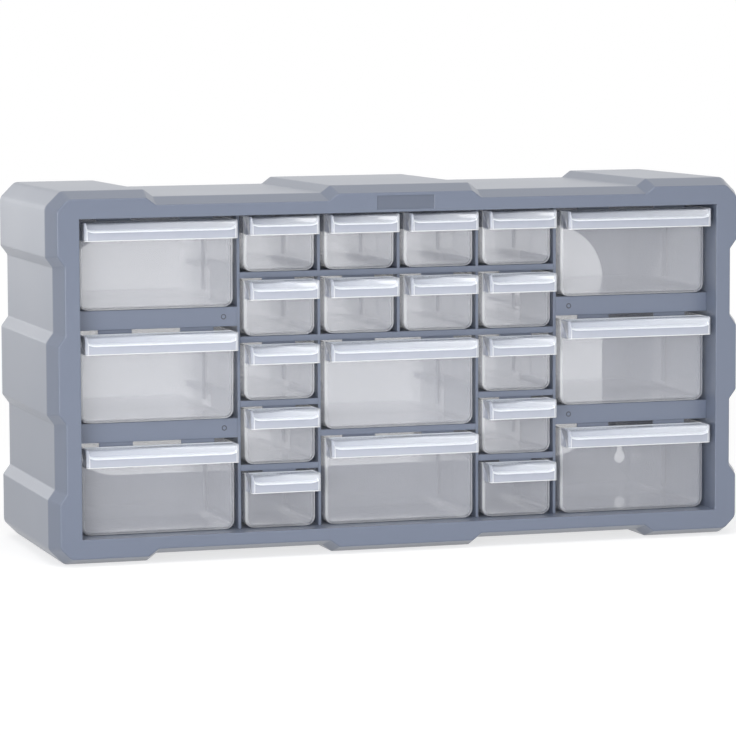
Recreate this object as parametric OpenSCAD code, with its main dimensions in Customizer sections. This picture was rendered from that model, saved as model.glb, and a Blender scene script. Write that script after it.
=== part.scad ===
// Parts bin cabinet: a moulded housing that holds fourteen small and eight large pull-out drawers.
// Millimetres. X runs across, Y runs from the face (negative) to the back, Z is up.
// The origin is on the underside, midway between the sides and midway between face and back.

/* [Housing] */
// Width of the housing over its side blocks
housing_w = 490; // [440:5:560]
// Depth of the housing from its face to its back
housing_d = 160; // [130:5:200]
// Height of the housing over its top and bottom blocks
housing_h = 248; // [220:2:300]
// Wall thickness of the housing mouldings
wall = 2.2; // [1.6:0.1:3]
// How much narrower each side is at the back than at the rim, for release from the mould
draft = 1.7; // [0:0.1:3]
// Width of the frame's side posts, from the side of the housing to the drawer opening
post_w = 20; // [18:0.5:26]
// Height of the frame's top and bottom rails, from the housing's edge to the drawer opening
rail_h = 18; // [16:0.5:24]

/* [Outline] */
// Leg of the chamfer on each outer corner
corner_cut = 10.6; // [6:0.2:14]
// Depth of the recesses between the raised blocks
recess = 4.8; // [2:0.2:6]
// Run of the slope from a block down to a recess
slope_run = 6.5; // [4:0.5:9]
// Width of the face bevel
bevel_w = 5; // [3:0.5:7]
// Depth of the face bevel, from the face to the rim
bevel_d = 14.5; // [8:0.5:15]
// Length of the top and bottom corner blocks, from the side of the housing
corner_block_w = 67; // [50:1:90]
// Length of the top and bottom middle blocks
middle_block_w = 98; // [70:2:140]
// Height of the corner blocks on the sides
corner_block_h = 43.8; // [34:0.2:52]
// Height of the middle blocks on the sides
middle_block_h = 48; // [36:1:60]
// Radius on the bends between the blocks and the recesses
bend_r = 2.5; // [0.5:0.1:4]
// Radius on the bends of the corner chamfers
corner_r = 6; // [1:0.5:8]

/* [Label recess] */
// Width of the blank label recess on the top rail
label_w = 40; // [20:1:60]
// Height of the blank label recess
label_h = 9; // [4:0.2:9]
// Depth of the blank label recess
label_depth = 0.6; // [0.3:0.1:1.2]

/* [Compartments] */
// Distance of the partition and shelf fronts behind the face
front_recess = 17; // [14:0.5:22]
// Thickness of the upright partitions
partition_t = 2; // [1.4:0.1:3]
// Depth of the full-height front strip of a partition
strip_d = 9; // [6:0.5:20]
// Depth of the guide walls behind the partition fronts
guide_d = 68; // [50:2:90]
// Height of the guide walls between the drawers of an open row
guide_h = 4.5; // [3:0.5:10]
// Thickness of the shelves between small drawers
shelf_t = 4.2; // [3:0.2:6]
// Height of the bands between the large side drawers
band_h = 13; // [8:0.5:18]
// Width of a drawer stop tab
tab_w = 23; // [12:1:34]
// Thickness of a drawer stop tab
tab_t = 1.6; // [1.2:0.1:2.4]
// How far a stop tab reaches below the rim of its drawer
tab_bite = 1.5; // [1:0.1:2.5]
// Gap between a stop tab and the front wall of its shut drawer
tab_gap = 0.8; // [0.3:0.1:2]

/* [Drawers] */
// Wall thickness of the drawers
drawer_wall = 1.5; // [1:0.1:2.2]
// Gap between a drawer and the partition on each side
side_gap = 2.4; // [0.6:0.1:3]
// Gap under a drawer
floor_gap = 0.3; // [0.2:0.05:0.6]
// Gap between a drawer's rim and the shelf above it
rim_gap = 1.2; // [0.6:0.1:2]
// Gap between a shut drawer and the back panel
back_gap = 6; // [1:0.5:12]
// Radius of the drawers' long lower edges
drawer_r = 6; // [3:0.5:10]
// Distance that the finger pull reaches in front of the drawer's wall
pull_d = 15; // [9:0.5:18]
// Drop of the finger pull's slope
pull_slope = 6; // [3:0.5:8]
// Height of the finger pull's upright lip
pull_lip = 6.5; // [4:0.5:9]
// How much narrower the finger pull is than its drawer, on each side
pull_inset = 1.3; // [0:0.1:3]
// Setback of a shut drawer's finger pull from the face
pull_setback = 0.4; // [0:0.1:2]
// Radius of the finger pull's upper corners
pull_r = 1.5; // [1:0.5:4]
// Radius of the drawers' upright front edges
front_r = 2; // [1:0.5:3]

/* [Drawer dividers] */
// Thickness of the divider that crosses a drawer
divider_t = 1.8; // [1.2:0.1:2.6]
// Gap round a divider in its slots
divider_gap = 0.1; // [0.1:0.05:0.3]
// Distance from the rim of a drawer down to the top of its divider
divider_low = 3; // [2:0.5:12]
// Width and height of the ribs on both sides of a divider slot
slot_rib = 1.6; // [1.2:0.1:2.4]

/* [Back panel] */
// Margin of solid panel beside the light window, from the drawer opening
window_side = 23; // [18:1:60]
// Height of the solid strip under the light window, from the drawer opening
window_sill = 21; // [12:1:90]
// Height of the solid strip over the light window, from the drawer opening
window_head = 23; // [6:1:40]
// Corner radius of the light window
window_r = 40; // [10:1:50]
// Distance of the keyholes from the sides of the drawer opening
keyhole_in = 9.5; // [7:0.5:40]
// Height of the keyholes' round part above the drawer opening's floor
keyhole_high = 18.5; // [12:0.5:180]
// Diameter of the keyholes' round part
keyhole_d = 9; // [7:0.5:12]
// Width of the keyholes' upper slot
keyhole_slot = 4.5; // [3.5:0.5:6]
// Length of the keyholes' upper slot above the round part's centre
keyhole_rise = 12; // [9:0.5:16]

/* [Hidden] */
$fn = 48;
bend_steps = 3;
over = 1;
face_y = -housing_d / 2;
back_y = housing_d / 2;
rim_y = face_y + bevel_d;
shelf_y = face_y + front_recess;
inner_back_y = back_y - wall;

open_half = housing_w / 2 - post_w;
open_low = rail_h;
open_high = housing_h - rail_h;
open_h = open_high - open_low;

pitch = open_half / 4;
small_clear = (open_h - 4 * shelf_t) / 5;
side_clear = (open_h - 2 * band_h) / 3;
centre_clear = (3 * small_clear + shelf_t) / 2;
small_room = pitch - partition_t;
side_room = 2 * pitch - partition_t / 2;
centre_room = 2 * pitch - partition_t;
side_x = 3 * pitch + partition_t / 4;

small_w = small_room - 2 * side_gap;
large_w = min(side_room, centre_room) - 2 * side_gap;
small_h = small_clear - floor_gap - rim_gap;
large_h = min(side_clear, centre_clear) - floor_gap - rim_gap;
pull_y = face_y + pull_setback;
drawer_y = pull_y + pull_d;
drawer_back_y = inner_back_y - back_gap;
tab_y = max(shelf_y, drawer_y + drawer_wall + tab_gap);
slot_y = (drawer_y + drawer_back_y) / 2;
function drawer_w(c) = c[4] ? small_w : large_w;
function drawer_h(c) = c[4] ? small_h : large_h;

label_z = (open_high + housing_h - bevel_w) / 2;
window_half = open_half - window_side;
window_low = open_low + window_sill;
window_high = open_high - window_head;
keyhole_x = open_half - keyhole_in;
keyhole_z = open_low + keyhole_high;

frame_colour = "#868fa0";
drawer_colour = [0.80, 0.82, 0.86, 0.75];

// A compartment is [drawer name, centre x, floor z, clear height, is it a small one].
function small_floor(row) = open_low + (5 - row) * (small_clear + shelf_t);
function side_floor(row) = open_low + (3 - row) * (side_clear + band_h);
function small_x(column) = (column - 2.5) * pitch;
SMALL = [for (row = [1:5]) for (column = row < 3 ? [1:4] : [1, 4])
    [str("small_drawer_row", row, "_column", column), small_x(column), small_floor(row), small_clear, true]];
SIDE = [for (side = ["left", "right"]) for (row = [1:3])
    [str("large_drawer_", side, "_", row), side == "left" ? -side_x : side_x, side_floor(row), side_clear,
     false]];
CENTRE = [for (row = [1:2])
    [str("large_drawer_centre_", row), 0, open_low + (2 - row) * (centre_clear + shelf_t), centre_clear,
     false]];
COMPARTMENTS = concat(SIDE, SMALL, CENTRE);
function divider_name(c) = str("divider_of_", c[0]);

// A plate is [left end, right end, z of its underside, thickness].
inner_edge = 2 * pitch - partition_t / 2;
inner_mid = pitch - partition_t / 2;
UPPER_SHELVES = [for (row = [1:2]) [-inner_edge, inner_edge, small_floor(row) - shelf_t, shelf_t]];
LOWER_SHELVES = [for (row = [3:4]) for (x = [[-inner_edge, -inner_mid - partition_t],
    [inner_mid + partition_t, inner_edge]]) [x[0], x[1], small_floor(row) - shelf_t, shelf_t]];
CENTRE_SHELF = [[-inner_mid, inner_mid, open_low + centre_clear, shelf_t]];
BANDS = [for (row = [1:2]) for (x = [[-open_half, -inner_edge - partition_t],
    [inner_edge + partition_t, open_half]]) [x[0], x[1], side_floor(row) - band_h, band_h]];

// A partition is [centre x, lower z, upper z, low guide walls as z from and to].
// Beside the second and fourth rows the wall is closed up to the guide of the row above.
function guide_wall(row) = [row == 5 ? open_low : small_floor(row + 1) - shelf_t, small_floor(row) + guide_h];
MAIN_PARTITIONS = [for (side = [-1, 1])
    [side * 2 * pitch, open_low, open_high, [guide_wall(5), guide_wall(3), guide_wall(1)]]];
LOWER_PARTITIONS = [for (side = [-1, 1])
    [side * pitch, open_low, small_floor(2) - shelf_t, [guide_wall(5), guide_wall(3)]]];
function row_partitions(row) = [for (place = [-1:1]) [place * pitch, small_floor(row),
    small_floor(row) + small_clear, [[small_floor(row), small_floor(row) + guide_h]]]];

// ---- Outline of the housing ----

// One quarter of the outline, from the middle of the top down to the middle of the right side.
quarter = let (x = housing_w / 2, z = housing_h / 2) [
    [middle_block_w / 2, z],
    [middle_block_w / 2 + slope_run, z - recess],
    [x - corner_block_w - slope_run, z - recess],
    [x - corner_block_w, z],
    [x - corner_cut, z],
    [x, z - corner_cut],
    [x, z - corner_block_h],
    [x - recess, z - corner_block_h - slope_run],
    [x - recess, middle_block_h / 2 + slope_run],
    [x, middle_block_h / 2]];

function turned(points) = [for (i = [len(points) - 1:-1:0]) points[i]];
function flipped(points, sx, sz) = [for (p = points) [sx * p[0], sz * p[1]]];
function raised(points) = [for (p = points) [p[0], p[1] + housing_h / 2]];

// The outline's corner points, clockwise as seen from the front.
corners = raised(concat(quarter, turned(flipped(quarter, 1, -1)), flipped(quarter, -1, -1),
    turned(flipped(quarter, -1, 1))));

// Radius at point i: each quarter has the two bends of its corner chamfer in its middle.
function radius_at(i) = floor(i % len(quarter) / 2) == 2 ? corner_r : bend_r;

// A point on the curve that rounds point i, from t = 0 on the edge before it to t = 1 on the edge after it.
function bend_point(points, i, t) =
    let (n = len(points), p = points[i],
        before = points[(i + n - 1) % n] - p, after = points[(i + 1) % n] - p,
        u = before / norm(before), v = after / norm(after), half = acos(u * v) / 2,
        reach = min(radius_at(i) / tan(half), norm(before) / 3, norm(after) / 3))
    p + reach * ((1 - t) * (1 - t) * u + t * t * v);

// An outline with each corner rounded by a short curve.
function rounded(points) = [for (i = [0:len(points) - 1]) for (k = [0:bend_steps])
    bend_point(points, i, k / bend_steps)];

// Outward normal of the edge that leaves point i of a clockwise outline.
function edge_normal(points, i) =
    let (step = points[(i + 1) % len(points)] - points[i]) [-step[1], step[0]] / norm(step);

// An outline moved inwards by a distance, with mitred corners.
function shrunk(points, distance) = [for (i = [0:len(points) - 1])
    let (before = edge_normal(points, (i + len(points) - 1) % len(points)), after = edge_normal(points, i))
    points[i] - distance * (before + after) / (1 + before * after)];

// The rounded outline, moved inwards by a distance.
function inset_outline(distance) = rounded(shrunk(corners, distance));
outline = inset_outline(0);

// An outline narrowed about the middle of the underside, which stays flat on its surface.
function narrowed(points, distance) = [for (p = points)
    [p[0] * (1 - 2 * distance / housing_w), p[1] * (1 - distance / housing_h)]];

// The outline's points pressed onto the edge of the drawer opening, grown by a distance.
function pressed(points, distance) = [for (p = points)
    [max(-open_half - distance, min(open_half + distance, p[0])),
     max(open_low - distance, min(open_high + distance, p[1]))]];

// A closed tube from a front ring to a back ring. The four loops have one point for each outline point.
module ring(front_outer, front_inner, front_y, back_outer, back_inner, back_y) {
    n = len(front_outer);
    points = concat(
        [for (p = front_outer) [p[0], front_y, p[1]]], [for (p = back_outer) [p[0], back_y, p[1]]],
        [for (p = back_inner) [p[0], back_y, p[1]]], [for (p = front_inner) [p[0], front_y, p[1]]]);
    triangles = [for (loop = [0:3]) for (i = [0:n - 1])
        let (j = (i + 1) % n, a = loop * n, b = ((loop + 1) % 4) * n)
        for (t = [[a + i, b + i, b + j], [a + i, b + j, a + j]]) t];
    polyhedron(points, [for (t = triangles)
        if (points[t[0]] != points[t[1]] && points[t[1]] != points[t[2]] && points[t[2]] != points[t[0]]) t]);
}

// A block between two x, two y and two z values.
module block(x0, x1, y0, y1, z0, z1) {
    translate([x0, y0, z0]) cube([x1 - x0, y1 - y0, z1 - z0]);
}

// ---- Housing ----

// Bevelled face frame with the drawer opening, hollow from behind, with a blank label recess.
module front_frame() {
    bevel_slope = bevel_w / bevel_d;
    color(frame_colour) difference() {
        ring(inset_outline(bevel_w), pressed(outline, 0), face_y, outline, pressed(outline, 0), rim_y);
        ring(inset_outline(bevel_w - wall * bevel_slope + wall), pressed(outline, wall), face_y + wall,
            inset_outline(wall - over * bevel_slope), pressed(outline, wall), rim_y + over);
        block(-label_w / 2, label_w / 2, face_y - over, face_y + label_depth,
            label_z - label_h / 2, label_z + label_h / 2);
    }
}

// Outer wall from the rim back to the back panel, narrower at the back.
module housing_shell() {
    color(frame_colour) ring(outline, inset_outline(wall), rim_y, narrowed(outline, draft),
        narrowed(inset_outline(wall), draft), inner_back_y);
}

// Rectangle in the XZ plane with round corners, carried along Y.
module rounded_cut(half_w, low, high, r, y0, y1) {
    block(-half_w + r, half_w - r, y0, y1, low, high);
    block(-half_w, half_w, y0, y1, low + r, high - r);
    for (x = [-half_w + r, half_w - r], z = [low + r, high - r])
        translate([x, y0, z]) rotate([-90, 0, 0]) cylinder(r = r, h = y1 - y0);
}

// Hanging keyhole: a round hole for the screw head with a narrow slot above it.
module keyhole(x) {
    y0 = inner_back_y - over;
    depth = wall + 2 * over;
    translate([x, y0, keyhole_z]) rotate([-90, 0, 0]) cylinder(d = keyhole_d, h = depth);
    block(x - keyhole_slot / 2, x + keyhole_slot / 2, y0, y0 + depth, keyhole_z, keyhole_z + keyhole_rise);
    translate([x, y0, keyhole_z + keyhole_rise]) rotate([-90, 0, 0]) cylinder(d = keyhole_slot, h = depth);
}

// Back panel with a light window behind the upper drawers and two keyholes.
module back_panel() {
    color(frame_colour) difference() {
        translate([0, back_y, 0]) rotate([90, 0, 0]) linear_extrude(wall) polygon(narrowed(outline, draft));
        rounded_cut(window_half, window_low, window_high, window_r, inner_back_y - over, back_y + over);
        for (side = [-1, 1]) keyhole(side * keyhole_x);
    }
}

// Inner walls of the drawer opening.
module liner_top() {
    color(frame_colour) block(-open_half - wall, open_half + wall, rim_y, inner_back_y,
        open_high, open_high + wall);
}
module liner_floor() {
    color(frame_colour) block(-open_half - wall, open_half + wall, rim_y, inner_back_y,
        open_low - wall, open_low);
}
module liner_left() {
    color(frame_colour) block(-open_half - wall, -open_half, rim_y, inner_back_y, open_low, open_high);
}
module liner_right() {
    color(frame_colour) block(open_half, open_half + wall, rim_y, inner_back_y, open_low, open_high);
}

// Shelf plates from the partition fronts to the back panel.
module shelves(plates) {
    color(frame_colour) for (p = plates) block(p[0], p[1], shelf_y, inner_back_y, p[2], p[2] + p[3]);
}
module upper_shelves() {
    shelves(UPPER_SHELVES);
}
module lower_shelves() {
    shelves(LOWER_SHELVES);
}
module centre_shelf() {
    shelves(CENTRE_SHELF);
}

// Deep bands between the large side drawers: channels that are open towards the back panel.
module side_bands() {
    color(frame_colour) for (p = BANDS) difference() {
        block(p[0], p[1], shelf_y, inner_back_y, p[2], p[2] + p[3]);
        block(p[0] - over, p[1] + over, shelf_y + wall, inner_back_y + over, p[2] + wall, p[2] + p[3] - wall);
    }
}

// Upright partitions: a full-height front strip with guide walls behind it.
module partitions(walls) {
    color(frame_colour) for (p = walls) {
        x0 = p[0] - partition_t / 2;
        x1 = p[0] + partition_t / 2;
        block(x0, x1, shelf_y, shelf_y + strip_d, p[1], p[2]);
        for (z = p[3]) block(x0, x1, shelf_y + strip_d - over, shelf_y + guide_d, z[0], z[1]);
    }
}
module main_partitions() {
    partitions(MAIN_PARTITIONS);
}
module lower_partitions() {
    partitions(LOWER_PARTITIONS);
}
module row_1_partitions() {
    partitions(row_partitions(1));
}
module row_2_partitions() {
    partitions(row_partitions(2));
}

// Tabs under the shelves, behind each drawer's front wall, that stop its back wall.
module stop_tabs() {
    color(frame_colour) for (c = COMPARTMENTS) {
        ceiling = c[2] + c[3];
        rim = c[2] + floor_gap + drawer_h(c);
        for (x = c[4] ? [0] : [-pitch / 2, pitch / 2])
            block(c[1] + x - tab_w / 2, c[1] + x + tab_w / 2, tab_y, tab_y + tab_t, rim - tab_bite, ceiling);
    }
}

// ---- Drawers ----

// Drawer cross-section with round lower corners, standing on z = 0.
module bin_section(w, h, r) {
    translate([-w / 2, r]) square([w, h - r]);
    translate([-w / 2 + r, 0]) square([w - 2 * r, h]);
    for (x = [-w / 2 + r, w / 2 - r]) translate([x, r]) circle(r);
}

// A cross-section carried along Y from y0 to y1.
module along_y(y0, y1) {
    translate([0, y1, 0]) rotate([90, 0, 0]) linear_extrude(y1 - y0) children();
}

// A long box with a round-cornered section whose two upright front edges are rounded too.
module bin_body(w, h, r, corner, y0, y1) {
    intersection() {
        along_y(y0, y1) bin_section(w, h, r);
        translate([0, y0, 0]) linear_extrude(h) bin_section(w, y1 - y0, corner);
    }
}

// Side profile of the finger pull, as y and z from the top edge of the drawer's front wall,
// moved inwards by one distance and carried below the lip by another.
function pull_profile(inset, below) =
    let (slope = pull_slope / pull_d, drop = inset * sqrt(1 + slope * slope),
        low = -pull_slope - pull_lip - below)
    [[0, -drop], [inset - pull_d, slope * (inset - pull_d) - drop], [inset - pull_d, low], [0, low]];

// A side profile carried across the width w, centred on x = 0.
module across(w) {
    translate([-w / 2, 0, 0]) rotate([90, 0, 90]) linear_extrude(w) children();
}

// Hooded finger pull: a slope and an upright lip between two cheeks, open below and behind.
module finger_pull(w, top) {
    low = -pull_slope - pull_lip;
    translate([0, drawer_y, top]) difference() {
        intersection() {
            across(w) polygon(pull_profile(0, 0));
            along_y(-pull_d, 0) mirror([0, 1]) bin_section(w, -low, pull_r);
        }
        across(w - 2 * drawer_wall) polygon(pull_profile(drawer_wall, over));
    }
}

// Pair of ribs on each side wall that hold the divider between them.
module slot_ribs(w, h) {
    slot_half = divider_t / 2 + divider_gap;
    for (side = [-1, 1], end = [-1, 1]) {
        x = side * (w / 2 - drawer_wall);
        y = slot_y + end * (slot_half + slot_rib / 2);
        block(min(x, x - side * slot_rib), max(x, x - side * slot_rib), y - slot_rib / 2, y + slot_rib / 2,
            drawer_r, h - divider_low);
    }
}

// One-piece drawer with its finger pull and divider slots.
module drawer(c) {
    w = drawer_w(c);
    h = drawer_h(c);
    color(drawer_colour) translate([c[1], 0, c[2] + floor_gap]) {
        difference() {
            bin_body(w, h, drawer_r, front_r, drawer_y, drawer_back_y);
            translate([0, 0, drawer_wall]) bin_body(w - 2 * drawer_wall, h, drawer_r - drawer_wall,
                front_r - drawer_wall / 2, drawer_y + drawer_wall, drawer_back_y - drawer_wall);
        }
        slot_ribs(w, h);
        finger_pull(w - 2 * pull_inset, h);
    }
}

// Loose plate that crosses a drawer at half its length, with round lower corners.
module divider(c) {
    margin = drawer_wall + divider_gap;
    color(drawer_colour) translate([c[1], 0, c[2] + floor_gap + drawer_wall])
        along_y(slot_y - divider_t / 2, slot_y + divider_t / 2)
            bin_section(drawer_w(c) - 2 * margin, drawer_h(c) - drawer_wall - divider_low,
                drawer_r - drawer_wall);
}

front_frame();
housing_shell();
back_panel();
liner_top();
liner_floor();
liner_left();
liner_right();
upper_shelves();
lower_shelves();
centre_shelf();
side_bands();
main_partitions();
lower_partitions();
row_1_partitions();
row_2_partitions();
stop_tabs();
for (c = COMPARTMENTS) drawer(c);
for (c = COMPARTMENTS) divider(c);
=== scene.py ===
import math
import bmesh
import bpy
import numpy as np
from mathutils import Matrix, Vector


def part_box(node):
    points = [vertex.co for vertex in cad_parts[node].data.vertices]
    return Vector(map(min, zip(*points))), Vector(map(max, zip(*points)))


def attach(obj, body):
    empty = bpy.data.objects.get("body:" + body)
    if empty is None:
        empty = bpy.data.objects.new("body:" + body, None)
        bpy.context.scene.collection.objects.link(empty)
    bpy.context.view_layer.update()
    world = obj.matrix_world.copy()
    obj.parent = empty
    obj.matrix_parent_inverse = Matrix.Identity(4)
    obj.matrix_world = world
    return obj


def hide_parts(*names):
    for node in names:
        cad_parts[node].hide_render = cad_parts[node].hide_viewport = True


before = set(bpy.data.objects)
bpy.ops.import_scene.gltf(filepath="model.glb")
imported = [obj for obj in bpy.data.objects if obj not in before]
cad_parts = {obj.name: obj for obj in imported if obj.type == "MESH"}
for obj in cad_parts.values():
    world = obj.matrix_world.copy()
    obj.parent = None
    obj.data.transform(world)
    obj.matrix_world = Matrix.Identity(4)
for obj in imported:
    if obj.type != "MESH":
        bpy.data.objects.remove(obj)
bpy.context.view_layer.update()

mergeDistance = 1e-6  # points of one mesh that lie nearer than this are merged


def gridFaces(rows, columns, closedRows=False, closedColumns=True):
    # Quads of a grid of points: row v, column u, and the next of each. Either way may close on itself.
    ranges = np.arange(rows - (not closedRows)), np.arange(columns - (not closedColumns))
    v, u = np.meshgrid(*ranges, indexing="ij")
    nextV, nextU = (v + 1) % rows, (u + 1) % columns
    corners = [v * columns + u, v * columns + nextU, nextV * columns + nextU, nextV * columns + u]
    return np.stack(corners, -1).reshape(-1, 4).tolist()


def cappedFaces(rows, columns, closedRows=False):
    # Quads between closed loops of points, with one many-sided face on the first loop and one on the last.
    last = (rows - 1) * columns
    caps = [list(range(columns))[::-1], list(range(last, last + columns))]
    return gridFaces(rows, columns, closedRows) + caps


def newObject(name, data):
    thing = bpy.data.objects.new(name, data)
    bpy.context.scene.collection.objects.link(thing)
    return thing


def newPiece(name, points, faces, **masks):
    # Points are an array whose last axis is x, y, z, and each mask has one number for every point.
    mesh = bpy.data.meshes.new(name)
    mesh.from_pydata(points.reshape(-1, 3).tolist(), [], faces)
    for mask, values in masks.items():
        values = np.asarray(values, np.float32).ravel()
        mesh.attributes.new(mask, "FLOAT", "POINT").data.foreach_set("value", values)
    work = bmesh.new()
    work.from_mesh(mesh)
    bmesh.ops.remove_doubles(work, verts=work.verts, dist=mergeDistance)
    bmesh.ops.dissolve_degenerate(work, edges=work.edges, dist=mergeDistance)
    work.to_mesh(mesh)
    work.free()
    mesh.shade_smooth()
    return newObject(name, mesh)


def steadyNormals(piece):
    # Large flat faces set the normals, so that only the rounded edges shade as curves.
    steady = piece.modifiers.new("steady normals", "WEIGHTED_NORMAL")
    steady.weight = 50


def arc(start, end, count):
    # Evenly spaced angles in radians, between two that are given in degrees.
    return np.radians(np.linspace(start, end, count))


def ring(count):
    # Evenly spaced angles round a whole circle, without the first one again at the end.
    return arc(0, 360 - 360 / count, count)


def bend(start, corner, end, count):
    # A quadratic curve from start to end, drawn towards the corner between them.
    t = np.linspace(0, 1, count)[:, None]
    start, corner, end = (np.array(p, float) for p in (start, corner, end))
    return (1 - t) ** 2 * start + 2 * t * (1 - t) * corner + t ** 2 * end


cabinet = dict(width=.490, depth=.160, height=.248, wall=.0022, draft=.0017, post=.020, rail=.018,
               cornerCut=.0106, recess=.0048, slopeRun=.0065, bevelWidth=.005, bevelDepth=.0145,
               cornerBlockWidth=.067, middleBlockWidth=.098, cornerBlockHeight=.0438, middleBlockHeight=.048,
               bendRadius=.0025, cornerRadius=.006, bendSteps=6, edgeStep=.005)
label = dict(width=.040, height=.009, depth=.0006, z=.2365, flankNear=.024, flankFar=.044, flankColumns=5)
window = dict(halfWidth=.202, low=.039, high=.207, radius=.040)
softEdge = dict(opening=.0006, face=.0009, rim=.0012, back=.0012, window=.0005)
softSteps = dict(opening=5, face=6, rim=5, back=6, window=4)

faceY, backY = -cabinet["depth"] / 2, cabinet["depth"] / 2
rimY, innerBackY = faceY + cabinet["bevelDepth"], backY - cabinet["wall"]
openHalf = cabinet["width"] / 2 - cabinet["post"]
openLow, openHigh = cabinet["rail"], cabinet["height"] - cabinet["rail"]


def outlineCorners():
    # One quarter of the notched outline, then its mirror images, clockwise from the front.
    x, z, c = cabinet["width"] / 2, cabinet["height"] / 2, cabinet
    quarter = np.array([
        [c["middleBlockWidth"] / 2, z],
        [c["middleBlockWidth"] / 2 + c["slopeRun"], z - c["recess"]],
        [x - c["cornerBlockWidth"] - c["slopeRun"], z - c["recess"]],
        [x - c["cornerBlockWidth"], z],
        [x - c["cornerCut"], z],
        [x, z - c["cornerCut"]],
        [x, z - c["cornerBlockHeight"]],
        [x - c["recess"], z - c["cornerBlockHeight"] - c["slopeRun"]],
        [x - c["recess"], c["middleBlockHeight"] / 2 + c["slopeRun"]],
        [x, c["middleBlockHeight"] / 2]])
    corners = np.vstack([quarter, quarter[::-1] * [1, -1], quarter * [-1, -1], quarter[::-1] * [-1, 1]])
    return corners + [0, z], len(quarter)


corners, quarterCount = outlineCorners()
onCornerCut = np.arange(len(corners)) % quarterCount // 2 == 2  # points 4 and 5 of each quarter
cornerRadii = np.where(onCornerCut, cabinet["cornerRadius"], cabinet["bendRadius"])
edgeLengths = np.linalg.norm(np.roll(corners, -1, 0) - corners, axis=1)
edgeCounts = np.maximum(1, (edgeLengths / cabinet["edgeStep"]).astype(int))
labelLips = np.array([-.0006, -.00035, -.00015, 0, .00006, .0002])  # distances inside the recess's edge
labelDepths = np.array([0, .06, .18, .4, .9, 1])  # share of the recess's depth at those distances
labelColumns = np.sort(np.concatenate([
    *(side * (label["width"] / 2 - labelLips) for side in (-1, 1)),
    np.linspace(-label["flankFar"], -label["flankNear"], label["flankColumns"]),
    np.linspace(label["flankNear"], label["flankFar"], label["flankColumns"])]))


def outline(inset):
    # The corner points moved in by a mitre, each bend rounded by a quadratic curve that takes at most a
    # third of the shorter edge beside it, and each straight cut into even steps.
    step = np.roll(corners, -1, 0) - corners
    normal = np.stack([-step[:, 1], step[:, 0]], 1) / np.linalg.norm(step, axis=1)[:, None]
    before = np.roll(normal, 1, 0)
    points = corners - inset * (before + normal) / (1 + (before * normal).sum(1))[:, None]
    back, ahead = np.roll(points, 1, 0) - points, np.roll(points, -1, 0) - points
    backLong, aheadLong = np.linalg.norm(back, axis=1), np.linalg.norm(ahead, axis=1)
    u, v = back / backLong[:, None], ahead / aheadLong[:, None]
    half = np.arccos(np.clip((u * v).sum(1), -1, 1)) / 2
    reach = np.minimum(cornerRadii / np.tan(half), np.minimum(backLong, aheadLong) / 3)[:, None, None]
    t = np.linspace(0, 1, cabinet["bendSteps"])[None, :, None]
    curves = points[:, None] + reach * ((1 - t) ** 2 * u[:, None] + t ** 2 * v[:, None])
    loop = []
    for i, curve in enumerate(curves):
        following = curves[(i + 1) % len(curves)][0]
        share = np.arange(1, edgeCounts[i]) / edgeCounts[i]
        straight = curve[-1] + share[:, None] * (following - curve[-1])
        if i == len(curves) - 1:  # the edge above the label has its columns at the label's own edges
            straight = np.stack([labelColumns, np.full(len(labelColumns), following[1])], 1)
        loop += [curve, straight]
    return np.vstack(loop)


def narrowed(points, distance):
    # The outline drawn in about the middle of the underside.
    return points * [1 - 2 * distance / cabinet["width"], 1 - distance / cabinet["height"]]


def pressed(points, grown):
    # The outline pressed onto the drawer opening's rectangle, grown by a distance.
    low, high = [-openHalf - grown, openLow - grown], [openHalf + grown, openHigh + grown]
    return np.clip(points, low, high)


def windowLoop(points, grown):
    # The outline's points carried to the nearest point of a rectangle with round corners.
    half, r = window["halfWidth"] - window["radius"], window["radius"]
    core = np.clip(points, [-half, window["low"] + r], [half, window["high"] - r])
    away = points - core
    return core + away / np.linalg.norm(away, axis=1)[:, None] * (r + grown)


def labelDip(points):
    # How deep the label recess is at each point of the face: a rounded lip, a steep wall and a flat floor.
    across = label["width"] / 2 - np.abs(points[:, 0])
    up = label["height"] / 2 - np.abs(points[:, 1] - label["z"])
    return label["depth"] * np.interp(np.minimum(across, up), labelLips, labelDepths)


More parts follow.
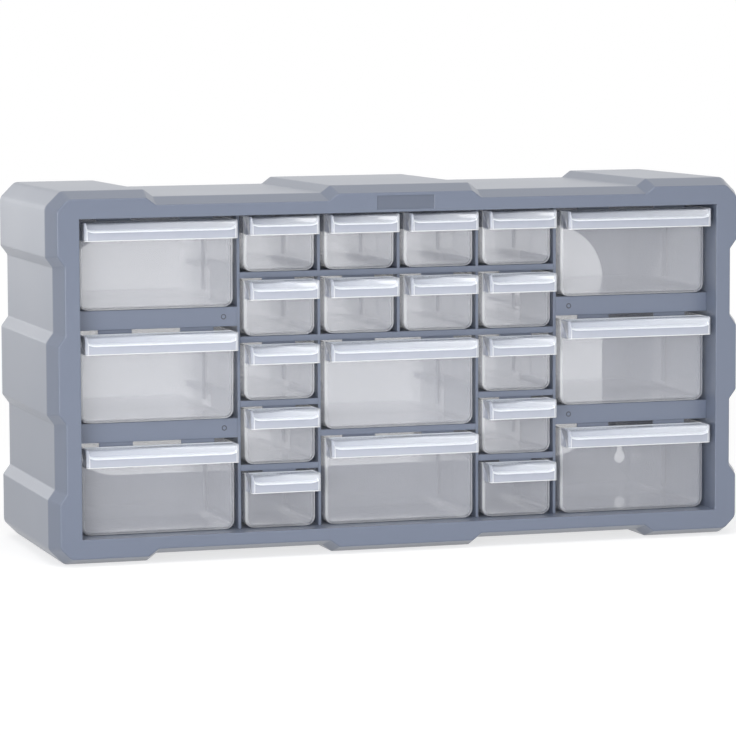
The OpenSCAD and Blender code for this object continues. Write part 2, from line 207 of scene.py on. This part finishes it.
def makeHousing():
    # A closed profile carried along the notched outline: opening edge, face, bevel, rim, drafted side, back,
    # window edge, inside of the back and the walls of the opening. Each row is a whole loop at one depth.
    base, rows, sunk = outline(0), [], []

    def addRow(loop, y, dip=0):
        rows.append(np.stack([loop[:, 0], np.broadcast_to(y + dip, len(loop)), loop[:, 1]], 1))
        sunk.append(np.broadcast_to(dip / label["depth"], len(loop)))

    def addRound(edge, start, end, loopAt, y, way):
        # A quarter circle round an edge. loopAt gives the loop at an inset; way is 1 or -1, the side of y.
        radius = softEdge[edge]
        for angle in arc(start, end, softSteps[edge]):
            addRow(loopAt(radius * (1 - math.cos(angle))), y + way * radius * (1 - math.sin(angle)))

    addRound("opening", 0, 90, lambda inset: pressed(base, inset), faceY, 1)
    inner = pressed(base, softEdge["opening"])
    outer = outline(cabinet["bevelWidth"] + softEdge["face"])
    zStart = openHigh + softEdge["opening"]
    zEnd = cabinet["height"] - cabinet["bevelWidth"] - softEdge["face"]
    labelLow, labelHigh = label["z"] - label["height"] / 2, label["z"] + label["height"] / 2
    for z in np.concatenate([labelLow + labelLips, labelHigh - labelLips[::-1]]):
        t = (z - zStart) / (zEnd - zStart)
        loop = (1 - t) * inner + t * outer
        addRow(loop, faceY, labelDip(loop))
    slope = np.array([-cabinet["bevelWidth"], cabinet["bevelDepth"]])
    slope = slope / np.linalg.norm(slope)
    fold, rim = np.array([cabinet["bevelWidth"], faceY]), np.array([0, rimY])
    foldBend = bend(fold + [softEdge["face"], 0], fold, fold + slope * softEdge["face"], softSteps["face"])
    rimBend = bend(rim - slope * softEdge["rim"], rim, rim + [0, softEdge["rim"]], softSteps["rim"])
    for inset, y in [*foldBend, *rimBend]:
        addRow(outline(inset), y)
    addRow(narrowed(base, cabinet["draft"]), innerBackY - softEdge["back"])
    addRound("back", 0, 90, lambda inset: narrowed(outline(inset), cabinet["draft"]), backY, -1)
    addRound("window", 90, 0, lambda inset: windowLoop(base, inset), backY, -1)
    addRound("window", 0, 90, lambda inset: windowLoop(base, inset), innerBackY, 1)
    addRow(pressed(base, 0), innerBackY)
    points = np.array(rows)
    # The shade mask follows the share of the label recess's depth at each point; it paints shade into the
    # recess.
    return newPiece("housing_moulding", points, gridFaces(*points.shape[:2], closedRows=True), shade=sunk)


keyhole = dict(x=.2155, z=.0365, radius=.0045, slot=.00225, rise=.012, margin=.001,
               roundSteps=33, slotSteps=13)


def keyholeCutter(side):
    # A round hole that opens into a narrow slot with a round top, carried through the back.
    meet = math.degrees(math.asin(keyhole["slot"] / keyhole["radius"]))
    lower, upper = arc(90 + meet, 450 - meet, keyhole["roundSteps"]), arc(0, 180, keyhole["slotSteps"])
    x = np.concatenate([keyhole["radius"] * np.cos(lower), keyhole["slot"] * np.cos(upper)])
    z = np.concatenate([keyhole["radius"] * np.sin(lower), keyhole["rise"] + keyhole["slot"] * np.sin(upper)])
    ends = [np.stack([side * keyhole["x"] + x, np.full(len(x), y), keyhole["z"] + z], 1)
            for y in (innerBackY - keyhole["margin"], backY + keyhole["margin"])]
    return newPiece("keyhole_cutter", np.array(ends), cappedFaces(2, len(x)))


def cutKeyholes(piece):
    cutters = [keyholeCutter(side) for side in (-1, 1)]
    for cutter in cutters:
        work = bmesh.new()
        work.from_mesh(cutter.data)
        bmesh.ops.recalc_face_normals(work, faces=work.faces)
        work.to_mesh(cutter.data)
        work.free()
        cut = piece.modifiers.new("keyhole", "BOOLEAN")
        cut.operation, cut.solver, cut.object = "DIFFERENCE", "EXACT", cutter
    bpy.context.view_layer.update()
    finished = bpy.data.meshes.new_from_object(piece.evaluated_get(bpy.context.evaluated_depsgraph_get()))
    piece.modifiers.clear()
    piece.data = finished
    for cutter in cutters:
        bpy.data.objects.remove(cutter)


housing = makeHousing()
cutKeyholes(housing)
steadyNormals(housing)
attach(housing, "cabinet")
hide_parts("front_frame", "housing_shell", "back_panel",
            "liner_top", "liner_floor", "liner_left", "liner_right")
print("housing moulding:", len(housing.data.polygons), "faces")

inside = dict(edge=.0003, segments=2, flatAngle=1, sharpAngle=40)
insideNodes = ["upper_shelves", "lower_shelves", "centre_shelf", "side_bands", "main_partitions",
               "lower_partitions", "row_1_partitions", "row_2_partitions", "stop_tabs"]


def softCopy(node):
    # A merged copy of a moulded part with its sharp edges eased.
    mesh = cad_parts[node].data.copy()
    work = bmesh.new()
    work.from_mesh(mesh)
    bmesh.ops.remove_doubles(work, verts=work.verts, dist=mergeDistance)
    flat = math.radians(inside["flatAngle"])
    bmesh.ops.dissolve_limit(work, angle_limit=flat, verts=work.verts, edges=work.edges)
    work.to_mesh(mesh)
    work.free()
    mesh.shade_smooth()
    piece = newObject("soft_" + node, mesh)
    ease = piece.modifiers.new("eased edges", "BEVEL")
    ease.width, ease.segments = inside["edge"], inside["segments"]
    ease.limit_method, ease.angle_limit = "ANGLE", math.radians(inside["sharpAngle"])
    steadyNormals(piece)
    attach(piece, "cabinet")
    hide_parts(node)
    return piece


insidePieces = [softCopy(node) for node in insideNodes]
print("inside of the housing:", len(insidePieces), "pieces")

markRing = dict(x=.1229, heights=(.1615, .0867), radius=.0015, tube=.0003, rise=.5, shade=3.2,
                steps=48, tubeSteps=12)


def bandMark(name, x, z):
    # A low round ridge on the front of a band: a small half-sunk tube bent into a circle.
    around, tube = np.meshgrid(ring(markRing["steps"]), ring(markRing["tubeSteps"]))
    radius = markRing["radius"] + markRing["tube"] * np.cos(tube)
    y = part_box("side_bands")[0].y - markRing["tube"] * np.sin(tube) * markRing["rise"]
    points = np.stack([x + radius * np.cos(around), y, z + radius * np.sin(around)], -1)
    faces = gridFaces(*around.shape, closedRows=True)
    # The ring carries a strong shade mask: painted shade that makes it much darker than the band.
    piece = newPiece(name, points, faces, shade=np.full(around.size, markRing["shade"]))
    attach(piece, "cabinet")
    return piece


marks = [bandMark(f"band_mark_{side}_{row}", x, z)
         for side, x in (("left", -markRing["x"]), ("right", markRing["x"]))
         for row, z in enumerate(markRing["heights"], 1)]

# brow and floorGlow are painted highlight: how much the upright front edges and the inner floor edge are
# painted whiter.
drawer = dict(wall=.0015, lowerRadius=.006, frontRadius=.002, backRadius=.0015, rimEdge=.0005, footEdge=.0009,
              rib=.0016, ribEase=.00015, slotHalf=.001, dividerLow=.003, line=.0003,
              lowerSteps=10, innerSteps=9, innerStart=80, rimSteps=4, backSteps=5,
              brow=(0, .4, .8, .8, .4, 0), floorGlow=.5)  # brow: glow over each upright front edge


def planLoops(rows):
    # Rounded rectangles seen from above, anticlockwise from the front left, one for each row of half width,
    # front, back, front radius, back radius and ribs. On the long sides the stations step inwards by the
    # rib's height. Also gives the painted highlight over the upright front edges, one number for each column.
    halfWidth, front, back, frontRadius, backRadius, ribs = (column[:, None] for column in rows.T)
    middle = (front[0, 0] + back[0, 0]) / 2
    slot, rib, ease = drawer["slotHalf"], drawer["rib"], drawer["ribEase"]
    edges = np.array([-slot - rib - ease, -slot - rib, -slot, -slot + ease])
    stations = middle + np.concatenate([edges, -edges[::-1]])
    height = rib * np.array([0, 1, 1, 0, 0, 1, 1, 0])
    nearFront, still, corner = front + frontRadius + drawer["line"], 0 * front, halfWidth - frontRadius
    brow = drawer["brow"]
    left, right = arc(180, 270, len(brow)), arc(270, 360, len(brow))
    backRight, backLeft = arc(0, 90, drawer["backSteps"]), arc(90, 180, drawer["backSteps"])
    x = [-halfWidth,
         -corner + frontRadius * np.cos(left), -corner + drawer["line"],
         corner - drawer["line"], corner + frontRadius * np.cos(right),
         halfWidth, halfWidth - ribs * height,
         halfWidth - backRadius + backRadius * np.cos(backRight),
         -halfWidth + backRadius + backRadius * np.cos(backLeft),
         -halfWidth + ribs * height]
    y = [nearFront,
         front + frontRadius * (1 + np.sin(left)), front,
         front, front + frontRadius * (1 + np.sin(right)),
         nearFront, stations + still,
         back - backRadius * (1 - np.sin(backRight)),
         back - backRadius * (1 - np.sin(backLeft)),
         stations[::-1] + still]
    x, y = np.hstack(x), np.hstack(y)
    uprightHighlight = np.concatenate([[0], brow, [0, 0], brow, [0]])
    return np.stack([x, y], -1), np.pad(uprightHighlight, (0, x.shape[1] - len(uprightHighlight)))


def softened(radius, z):
    # Distance that a rounded lower edge stands back at height z.
    return radius - np.sqrt(np.maximum(0, radius ** 2 - np.maximum(0, radius - z) ** 2))


def drawerBody(x, floor, width, height, front, back):
    # Loops stacked from the underside up the outside, over the rim and down the inside to the floor. Each
    # group of rows holds half width, front, back, front radius, back radius, ribs, height and painted
    # highlight (glow).
    half, wall, rim, foot = width / 2, drawer["wall"], drawer["rimEdge"], drawer["footEdge"]
    low, frontRadius, backRadius = drawer["lowerRadius"], drawer["frontRadius"], drawer["backRadius"]
    rimSteps, ribTop, ease = drawer["rimSteps"], height - drawer["dividerLow"], drawer["ribEase"]
    outerZ = low * (1 - np.cos(arc(0, 90, drawer["lowerSteps"])))
    stand = softened(foot, outerZ)
    outer = [half - softened(low, outerZ), front + stand, back - stand, frontRadius, backRadius,
             0, outerZ, np.clip(1 - outerZ / foot, 0, 1)]
    angle = np.concatenate([arc(0, 90, rimSteps), arc(90, 180, rimSteps)])
    inset = np.where(np.arange(2 * rimSteps) < rimSteps, rim, wall - rim) - rim * np.cos(angle)
    lip = [half - inset, front + inset, back - inset, frontRadius - inset / 2, backRadius - inset / 2,
           0, height - rim + rim * np.sin(angle), 1]
    skin = np.array([0, wall])
    below = [half - skin, front + skin, back - skin, frontRadius - skin / 2, backRadius - skin / 2,
             0, height - rim - drawer["line"], 0]
    innerLow, innerFront, innerBack = low - wall, frontRadius - wall / 2, backRadius - wall / 2
    ribZ = np.array([ribTop + ease, ribTop, low, low - ease])
    ribs = [half - wall - softened(innerLow, ribZ - wall), front + wall, back - wall, innerFront, innerBack,
            np.array([0, 1, 1, 0]), ribZ, 0]
    innerZ = innerLow * (1 - np.cos(arc(drawer["innerStart"], 0, drawer["innerSteps"])))
    stand = softened(foot, innerZ)
    inner = [half - wall - softened(innerLow, innerZ), front + wall + stand, back - wall - stand,
             innerFront, innerBack, 0, wall + innerZ, np.clip(1 - innerZ / foot, 0, 1) * drawer["floorGlow"]]
    outer, lip, below, ribs, inner = (np.stack(np.broadcast_arrays(*group), 1).astype(float)
                                      for group in (outer, lip, below, ribs, inner))
    rows = np.vstack([outer, below[:1], lip, below[1:], ribs, inner])
    plan, uprightHighlight = planLoops(rows[:, :6])
    z = floor + np.broadcast_to(rows[:, 6, None, None], plan[..., :1].shape)
    points = np.concatenate([plan[..., :1] + x, plan[..., 1:], z], -1)
    # The edge mask is painted highlight: the rim, the outer and inner lower edges and the upright front edges
    # are painted whiter and less see-through.
    edge = np.maximum(rows[:, 7, None], uprightHighlight[None, :])
    return points.reshape(-1, 3), cappedFaces(*edge.shape), edge.ravel(), 0


pull = dict(depth=.015, slope=.006, lip=.0065, inset=.0004, sink=.0004, fold=.0006, edge=.0005, corner=.0022,
            cheekCorner=.0015, cheekFillet=.0008, dishRise=.0014, dishRun=.006, milk=.3,
            cheekPlaces=(.0008, .0012), filletPlaces=(.0002, .0005), dishShares=(.35, .5, .7, 1),
            topShares=(0, .35, .7, 1), edgeSteps=4, foldSteps=5, lipSteps=2, turnSteps=8)
# Painted highlights on the finger pull: how much its cheeks, fold, fillet junction and upright front corners
# are painted whiter. The right cheek is painted brighter than the left, as if lit from the left.
pullGlow = dict(leftCheek=.05, rightCheek=.5, fold=.1, junction=.7, junctionWidth=.0002,
                upright=.9, uprightPlace=.9, uprightWidth=.0003)


def endStations():
    # Distances from one end of the finger pull: eased end, plan corner and the cheek's inner face, where
    # the pull is solid, then that face again, the fillet and the dish, where it is hollow. Also gives 1 for
    # solid and 0 for hollow.
    wall, junction = drawer["wall"], drawer["wall"] + pull["cheekFillet"]
    cheek = [*(pull["edge"] * (1 - np.cos(arc(0, 90, pull["edgeSteps"])))), *pull["cheekPlaces"], wall]
    hollow = [wall, *(wall + place for place in pull["filletPlaces"]), junction, junction + drawer["line"],
              *(wall + pull["dishRun"] * share for share in pull["dishShares"])]
    return np.array(cheek + hollow), np.repeat([1.0, 0.0], [len(cheek), len(hollow)])


def fingerPull(x, top, width, front):
    # A hood: a closed section carried from end to end. At both ends it is a full-height cheek with a round
    # front corner. Between them a slope, dished up to the cheeks, and an upright lip enclose a hollow.
    half, wall, rim, line, fold = width / 2, drawer["wall"], pull["edge"], drawer["line"], pull["fold"]
    low, rear, lipY = top - pull["slope"] - pull["lip"], front + pull["sink"], front - pull["depth"]
    places, solid = endStations()
    inward = np.concatenate([places, places[::-1]])[:, None]
    solid = np.concatenate([solid, solid[::-1]])[:, None]
    side = np.repeat([-1, 1], len(places))[:, None]
    cheek = np.clip(1 - (inward - wall) / pull["cheekFillet"], 0, 1) ** 2
    rise = pull["dishRise"] * np.clip(1 - (inward - wall) / pull["dishRun"], 0, 1) ** 2
    face, shrunk = lipY + softened(pull["corner"], inward), softened(rim, inward)
    columns = []

    def addColumn(y, z):
        columns.append(np.broadcast_arrays(y, z, inward)[:2])

    def sloped(y, drop):
        share = np.clip((front - y) / pull["depth"], 0, 1)
        return top - share * (pull["slope"] - rise) - drop

    def mixed(upright, sloping):
        return cheek * upright + (1 - cheek) * sloping

    foldRadius = mixed(pull["cheekCorner"], fold)
    for y in [rear, *(front + (face + foldRadius + line - front) * share for share in pull["topShares"])]:
        addColumn(y, mixed(top - shrunk, sloped(y, 0)))
    for angle in arc(0, 90, pull["foldSteps"]):
        y, drop = face + foldRadius * (1 - math.sin(angle)), 1 - math.cos(angle)
        addColumn(y, mixed(top - shrunk - pull["cheekCorner"] * drop, sloped(y, fold * drop)))
    addColumn(face, top - pull["slope"] + rise - fold - line)
    addColumn(face, low + rim + line)
    for angle in arc(180, 0, pull["turnSteps"]):
        turn, outside = rim * (1 - math.sin(angle)), angle >= math.pi / 2
        y = face + (rim if outside else wall - rim) - rim * math.cos(math.pi - angle)
        addColumn(y, np.where(solid > 0, low + shrunk + (turn if outside else 0), low + turn))
    addColumn(face + wall + solid * line, np.where(solid > 0, low + shrunk, low + rim + line))
    under = wall * math.sqrt(1 + (pull["slope"] / pull["depth"]) ** 2)
    for y in (face + wall + 2 * line, (face + front) / 2, rear):
        addColumn(y, np.where(solid > 0, low + shrunk, sloped(y, under)))
    y, z = (np.hstack([column[part] for column in columns]) for part in (0, 1))
    points = np.stack([x + side * (half - inward) + 0 * y, y, z], -1)
    faces = cappedFaces(*y.shape, closedRows=True)  # also joins both ends by a band the form doesn't need

    def peak(place, width):
        return np.exp(-((inward - place) / width) ** 2)

    zoneEnds = np.cumsum([1 + len(pull["topShares"]), pull["foldSteps"], pull["lipSteps"], pull["turnSteps"]])
    zone = np.searchsorted(zoneEnds, np.arange(y.shape[1]), side="right")
    onSlope, onFold, onLip, onTurn = zone < 2, zone == 1, zone == 2, zone == 3
    cheekGlow = np.where(side > 0, pullGlow["rightCheek"], pullGlow["leftCheek"])
    junction = peak(wall + pull["cheekFillet"], pullGlow["junctionWidth"]) * pullGlow["junction"]
    upright = peak(pull["corner"] * pullGlow["uprightPlace"], pullGlow["uprightWidth"]) * pullGlow["upright"]
    # The edge mask is painted highlight on the fold, the lip's lower turn, the fillet junction, the upright
    # corners and the cheeks' front edges.
    edge = onFold * (cheek == 0) * pullGlow["fold"] + onTurn
    edge = np.maximum(edge, onSlope * np.maximum(junction, (inward <= wall) * cheekGlow))
    edge = np.maximum(edge, onLip * np.maximum(upright, (inward < wall) * cheekGlow))
    milk = np.where(onSlope * (inward > wall), 1.0, pull["milk"])
    return points.reshape(-1, 3), faces, edge.ravel(), milk.ravel()


grip = dict(length=.0085, spacing=.0041, middle=.45, radius=.00036, lift=.00022,
            steps=9, tubeSteps=6, taper=6, least=.02)


def gripRidge(x, top, front, place):
    # A low ridge across the slope: a half-sunk tube with tapering ends, round in section.
    slope, rows, columns = pull["slope"] / pull["depth"], grip["tubeSteps"], grip["steps"]
    t, turn = np.meshgrid(np.linspace(-1, 1, columns), ring(rows))
    radius = grip["radius"] * np.sqrt(np.maximum(grip["least"], 1 - np.abs(t) ** grip["taper"]))
    y = front - pull["depth"] * grip["middle"] + place * grip["spacing"] + radius * np.cos(turn)
    z = top + slope * (y - front) + grip["lift"] - grip["radius"] + radius * np.sin(turn)
    points = np.stack([x + t * grip["length"] / 2, y, z], -1)
    faces = [face[::-1] for face in gridFaces(rows, columns, closedRows=True, closedColumns=False)]
    faces += [[v * columns for v in range(rows)], [v * columns + columns - 1 for v in range(rows)][::-1]]
    # The whole ridge gets the full edge mask: it is painted as a highlight, whiter and less see-through.
    return points.reshape(-1, 3), faces, np.ones(t.size), 1


def joined(shells):
    # Several shells of points, faces, painted highlight (edge) mask and milk mask as one.
    points, faces, edge, milk, offset = [], [], [], [], 0
    for shellPoints, shellFaces, shellEdge, shellMilk in shells:
        points.append(shellPoints)
        faces += [[offset + i for i in face] for face in shellFaces]
        edge.append(shellEdge)
        milk.append(np.broadcast_to(shellMilk, len(shellPoints)))
        offset += len(shellPoints)
    return np.concatenate(points), faces, np.concatenate(edge), np.concatenate(milk)


def makeDrawer(name):
    # The body, the finger pull and three grip ridges in one mesh, sized from the drawer's box in the frame.
    low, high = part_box(name)
    x, width, height = (low.x + high.x) / 2, high.x - low.x, high.z - low.z
    front = low.y + pull["depth"]
    shells = [drawerBody(x, low.z, width, height, front, high.y),
              fingerPull(x, high.z, width - 2 * pull["inset"], front)]
    shells += [gripRidge(x, high.z, front, place) for place in (-1, 0, 1)]
    points, faces, edge, milk = joined(shells)
    piece = newPiece("clear_" + name, points, faces, edge=edge, milk=milk)
    steadyNormals(piece)
    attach(piece, name + "_body")
    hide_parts(name)
    return piece


plate = dict(ease=.0003, shoulder=.3, cornerSteps=8)


def makeDivider(name):
    # The drawer's inner section with round lower corners, carried through the plate with eased edges.
    low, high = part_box(name)
    x, half, height = (low.x + high.x) / 2, (high.x - low.x) / 2, high.z - low.z
    r = drawer["lowerRadius"] - drawer["wall"]
    left, right = arc(180, 270, plate["cornerSteps"]), arc(270, 360, plate["cornerSteps"])
    ease, part = plate["ease"], plate["ease"] * plate["shoulder"]
    rows = []
    for y, inset in ((low.y, ease), (low.y + part, part), (low.y + ease, 0),
                     (high.y - ease, 0), (high.y - part, part), (high.y, ease)):
        radius, top, end = r - inset, height - inset, half - inset
        xs = [-(half - r) + radius * np.cos(left), (half - r) + radius * np.cos(right), [end, -end]]
        zs = [r + radius * np.sin(left), r + radius * np.sin(right), [top, top]]
        xs, zs = np.concatenate(xs), np.concatenate(zs)
        rows.append(np.stack([x + xs, np.full(len(xs), y), low.z + zs], 1))
    points = np.array(rows)
    piece = newPiece("clear_" + name, points, [face[::-1] for face in cappedFaces(*points.shape[:2])])
    steadyNormals(piece)
    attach(piece, name.removeprefix("divider_of_") + "_body")
    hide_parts(name)
    return piece


drawerNames = sorted(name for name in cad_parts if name.startswith(("large_drawer", "small_drawer")))
drawers = [makeDrawer(name) for name in drawerNames]
dividers = [makeDivider("divider_of_" + name) for name in drawerNames]
print("drawers:", len(drawers), "with", len(dividers), "dividers")


class Signal:
    # One output of a node that can be used in sums.
    def __init__(self, finish, socket):
        self.finish, self.socket = finish, socket

    def sum(self, operation, first, second):
        return self.finish.add("ShaderNodeMath", {"operation": operation}, {0: first, 1: second})

    def __add__(self, other):
        return self.sum("ADD", self, other)

    def __sub__(self, other):
        return self.sum("SUBTRACT", self, other)

    def __rsub__(self, other):
        return self.sum("SUBTRACT", other, self)

    def __mul__(self, other):
        return self.sum("MULTIPLY", self, other)

    def __pow__(self, other):
        return self.sum("POWER", self, other)

    __radd__, __rmul__ = __add__, __mul__


class Finish:
    # A node tree being built: add() makes a node, sets it up, fills its sockets and gives one output.
    def __init__(self, owner):
        owner.use_nodes = True
        self.tree, self.owner = owner.node_tree, owner
        self.tree.nodes.clear()

    def add(self, kind, settings=None, inputs=None, output=0):
        node = self.tree.nodes.new(kind)
        for key, value in (settings or {}).items():
            if key == "stops":
                for stop in range(len(value) - 2):
                    node.color_ramp.elements.new(.5)
                for element, (place, colour) in zip(node.color_ramp.elements, value):
                    element.position, element.color = place, (*colour, 1)
            else:
                setattr(node, key, value)
        for key, value in (inputs or {}).items():
            if isinstance(value, Signal):
                self.tree.links.new(value.socket, node.inputs[key])
            else:
                node.inputs[key].default_value = value
        return Signal(self, node.outputs[output]) if node.outputs else node

    def mask(self, name):
        return self.add("ShaderNodeAttribute", {"attribute_name": name}, output=2)

    def place(self):
        return self.add("ShaderNodeTexCoord", output=3)

    def noise(self, place, scale, detail, roughness):
        inputs = {"Vector": place, "Scale": scale, "Detail": detail, "Roughness": roughness}
        return self.add("ShaderNodeTexNoise", inputs=inputs)

    def colours(self, amount, first, second):
        # Each colour is three numbers or the output of a node.
        first, second = (c if isinstance(c, Signal) else (*c, 1) for c in (first, second))
        return self.add("ShaderNodeMix", {"data_type": "RGBA"}, {0: amount, 6: first, 7: second}, 2)


housingLook = dict(colour=(.150, .177, .243), roughness=.36, glossDrift=.1, drift=.05, driftScale=9,
                   grain=1500, grainHeight=.00002, recess=.24, coat=.5, coatRoughness=.3)


def housingFinish():
    # Satin moulded plastic: a fine grain, a slow drift of tone and a little variation in gloss.
    look, finish = housingLook, Finish(bpy.data.materials.new("grey_blue_moulding"))
    place = finish.place()
    drift, grain = finish.noise(place, look["driftScale"], 3, .5), finish.noise(place, look["grain"], 2, .6)
    # The drift varies the tone at random; the shade mask adds painted shade, darkening the label recess and
    # the band marks.
    darker = (drift - .5) * (-2 * look["drift"]) + finish.mask("shade") * look["recess"]
    tone = finish.colours(darker, look["colour"], (0, 0, 0))
    bump = finish.add("ShaderNodeBump",
                      inputs={"Height": grain, "Strength": .3, "Distance": look["grainHeight"]})
    roughness = drift * look["glossDrift"] + (look["roughness"] - look["glossDrift"] / 2)
    shader = finish.add("ShaderNodeBsdfPrincipled", inputs={
        "Base Color": tone, "Roughness": roughness, "Normal": bump, "IOR": 1.5,
        "Coat Weight": look["coat"], "Coat Roughness": look["coatRoughness"]})
    finish.add("ShaderNodeOutputMaterial", inputs={"Surface": shader})
    return finish.owner


# The edge colour and edge amount set the painted highlight on the drawers' edges.
clearLook = dict(colour=(.77, .79, .86), lipColour=(.63, .67, .78), milkColour=(.88, .92, .98),
                 paintedHighlightColour=(.95, .96, .97), haze=.22, grazingHaze=.35, grazing=5, milk=.58, edge=.34,
                 roughness=.13, satin=.25, dull=.7, coatRoughness=.05, cloud=.03, cloudScale=28)


def clearFinish():
    # Milky clear plastic: see-through face on, and closed by gloss and haze towards a grazing view.
    look, finish = clearLook, Finish(bpy.data.materials.new("milky_clear_plastic"))
    cloud = finish.noise(finish.place(), look["cloudScale"], 3, .55)
    facing = finish.add("ShaderNodeLayerWeight", inputs={"Blend": .5}, output=1)
    edge, milk = finish.mask("edge"), finish.mask("milk")
    cover = cloud * look["cloud"] + (look["haze"] - look["cloud"] / 2)
    # The edge mask makes the edges less see-through, part of their painted highlight.
    cover = cover + facing * (look["grazingHaze"] * look["haze"]) + milk * look["milk"] + edge * look["edge"]
    stops = [(0, look["colour"]), (pull["milk"], look["lipColour"]), (1, look["milkColour"])]
    colour = finish.add("ShaderNodeValToRGB", {"stops": stops}, {0: milk})
    # Painted highlight: the edge mask mixes the colour towards near-white.
    colour = finish.colours(edge, colour, look["paintedHighlightColour"])
    shader = finish.add("ShaderNodeBsdfPrincipled", inputs={
        "Base Color": colour, "Roughness": milk * look["satin"] + look["roughness"],
        "Coat Weight": milk * -look["dull"] + 1, "Coat Roughness": look["coatRoughness"],
        "Specular IOR Level": 1.0, "IOR": 1.5, "Alpha": cover + (1 - cover) * facing ** look["grazing"]})
    finish.add("ShaderNodeOutputMaterial", inputs={"Surface": shader})
    return finish.owner


moulding, clearPlastic = housingFinish(), clearFinish()
for piece in [housing, *insidePieces, *marks]:
    piece.data.materials.clear()
    piece.data.materials.append(moulding)
for piece in [*drawers, *dividers]:
    piece.data.materials.append(clearPlastic)
print("finishes set")

studio = dict(floorColour=.86, seenColour=1.5, floorSize=12, floorDrop=.0002, ambient=.42,
              white=.7, whiteFrom=.45, whiteTo=1.4)


def floorFinish():
    # Pale floor; the camera and mirror rays see it partly as plain white, so that only the soft shadow shows.
    finish = Finish(bpy.data.materials.new("pale_floor"))
    seen = finish.add("ShaderNodeLightPath", output=0)
    mirrored = finish.add("ShaderNodeLightPath", output=3)
    far = finish.add("ShaderNodeVectorMath", {"operation": "LENGTH"}, {0: finish.place()}, 1)
    far = finish.add("ShaderNodeMapRange", {"interpolation_type": "SMOOTHSTEP"},
                     {0: far, 1: studio["whiteFrom"], 2: studio["whiteTo"], 3: studio["white"], 4: 1})
    tone = finish.colours(seen, [studio["floorColour"]] * 3, [studio["seenColour"]] * 3)
    plain = finish.add("ShaderNodeBsdfDiffuse", inputs={"Color": tone})
    white = finish.add("ShaderNodeEmission", inputs={"Color": (1, 1, 1, 1), "Strength": 1.0})
    mixed = finish.add("ShaderNodeMixShader", inputs={0: (seen + mirrored) * far, 1: plain, 2: white})
    finish.add("ShaderNodeOutputMaterial", inputs={"Surface": mixed})
    return finish.owner


def makeFloor():
    # A flat square grid just under the object.
    side = np.linspace(-studio["floorSize"], studio["floorSize"], 3)
    x, y = np.meshgrid(side, side)
    points = np.stack([x, y, np.full_like(x, -studio["floorDrop"])], -1)
    piece = newPiece("floor", points, gridFaces(*x.shape, closedColumns=False))
    piece.data.materials.append(floorFinish())


def makeWorld():
    # White to the camera, in mirrors and through clear pieces; a weaker white as light.
    world = bpy.data.worlds.new("studio")
    bpy.context.scene.world = world
    finish = Finish(world)
    direct, mirrored, through = (finish.add("ShaderNodeLightPath", output=output) for output in (0, 3, 6))
    seen = finish.add("ShaderNodeMath", {"operation": "MAXIMUM"}, {0: direct, 1: mirrored})
    seen = finish.add("ShaderNodeMath", {"operation": "MAXIMUM"}, {0: seen, 1: through})
    strength = seen * (1 - studio["ambient"]) + studio["ambient"]
    background = finish.add("ShaderNodeBackground", inputs={"Color": (1, 1, 1, 1), "Strength": strength})
    finish.add("ShaderNodeOutputWorld", inputs={"Surface": background})


lamps = dict(
    key=dict(place=(-1.7, -2.2, .4), target=(0, 0, .12), size=(1.6, 1.0), power=31),
    side=dict(place=(-1.2, 2.1, .5), target=(-.2, 0, .12), size=(1.8, 1.0), power=3.8),
    top=dict(place=(-.4, -.9, 2.0), target=(0, 0, .1), size=(1.6, 1.2), power=17),
    low=dict(place=(-.05, -.55, .07), target=(-.05, 0, .08), size=(1.1, .12), power=1.0, mirrored=False))


def makeLamp(name, place, target, size, power, mirrored=True):
    # A rectangular lamp aimed at a point. It may be left out of what shiny surfaces mirror.
    data = bpy.data.lights.new(name, "AREA")
    data.shape, data.size, data.size_y, data.energy = "RECTANGLE", size[0], size[1], power
    lamp = newObject(name, data)
    towards = Vector(target) - Vector(place)
    lamp.location, lamp.rotation_euler = place, towards.to_track_quat("-Z", "Y").to_euler()
    lamp.visible_glossy = mirrored


view = dict(place=(-.82804704, -2.60827167, .40027737), yaw=.30675678, pitch=-.10326617, roll=-.00337647,
            focalPixels=3967.23365, imagePixels=736, sensor=36)


def makeCamera():
    # The axes of the camera from its yaw, pitch and roll.
    yaw, pitch, roll = view["yaw"], view["pitch"], view["roll"]
    forward = np.array([math.sin(yaw) * math.cos(pitch), math.cos(yaw) * math.cos(pitch), math.sin(pitch)])
    level = np.array([math.cos(yaw), -math.sin(yaw), 0])
    upright = np.cross(level, forward)
    right = math.cos(roll) * level + math.sin(roll) * upright
    up = -math.sin(roll) * level + math.cos(roll) * upright
    data = bpy.data.cameras.new("camera")
    data.sensor_width, data.lens = view["sensor"], view["sensor"] * view["focalPixels"] / view["imagePixels"]
    camera = newObject("camera", data)
    turn = Matrix(np.stack([right, up, -forward], 1).tolist()).to_4x4()
    camera.matrix_world = Matrix.Translation(view["place"]) @ turn
    bpy.context.scene.camera = camera


makeFloor()
makeWorld()
for name, lamp in lamps.items():
    makeLamp(name, **lamp)
makeCamera()
bpy.context.scene.view_settings.view_transform = "Standard"
bpy.context.scene.cycles.transparent_max_bounces = 32  # a look through drawers crosses many thin walls
print("studio ready")
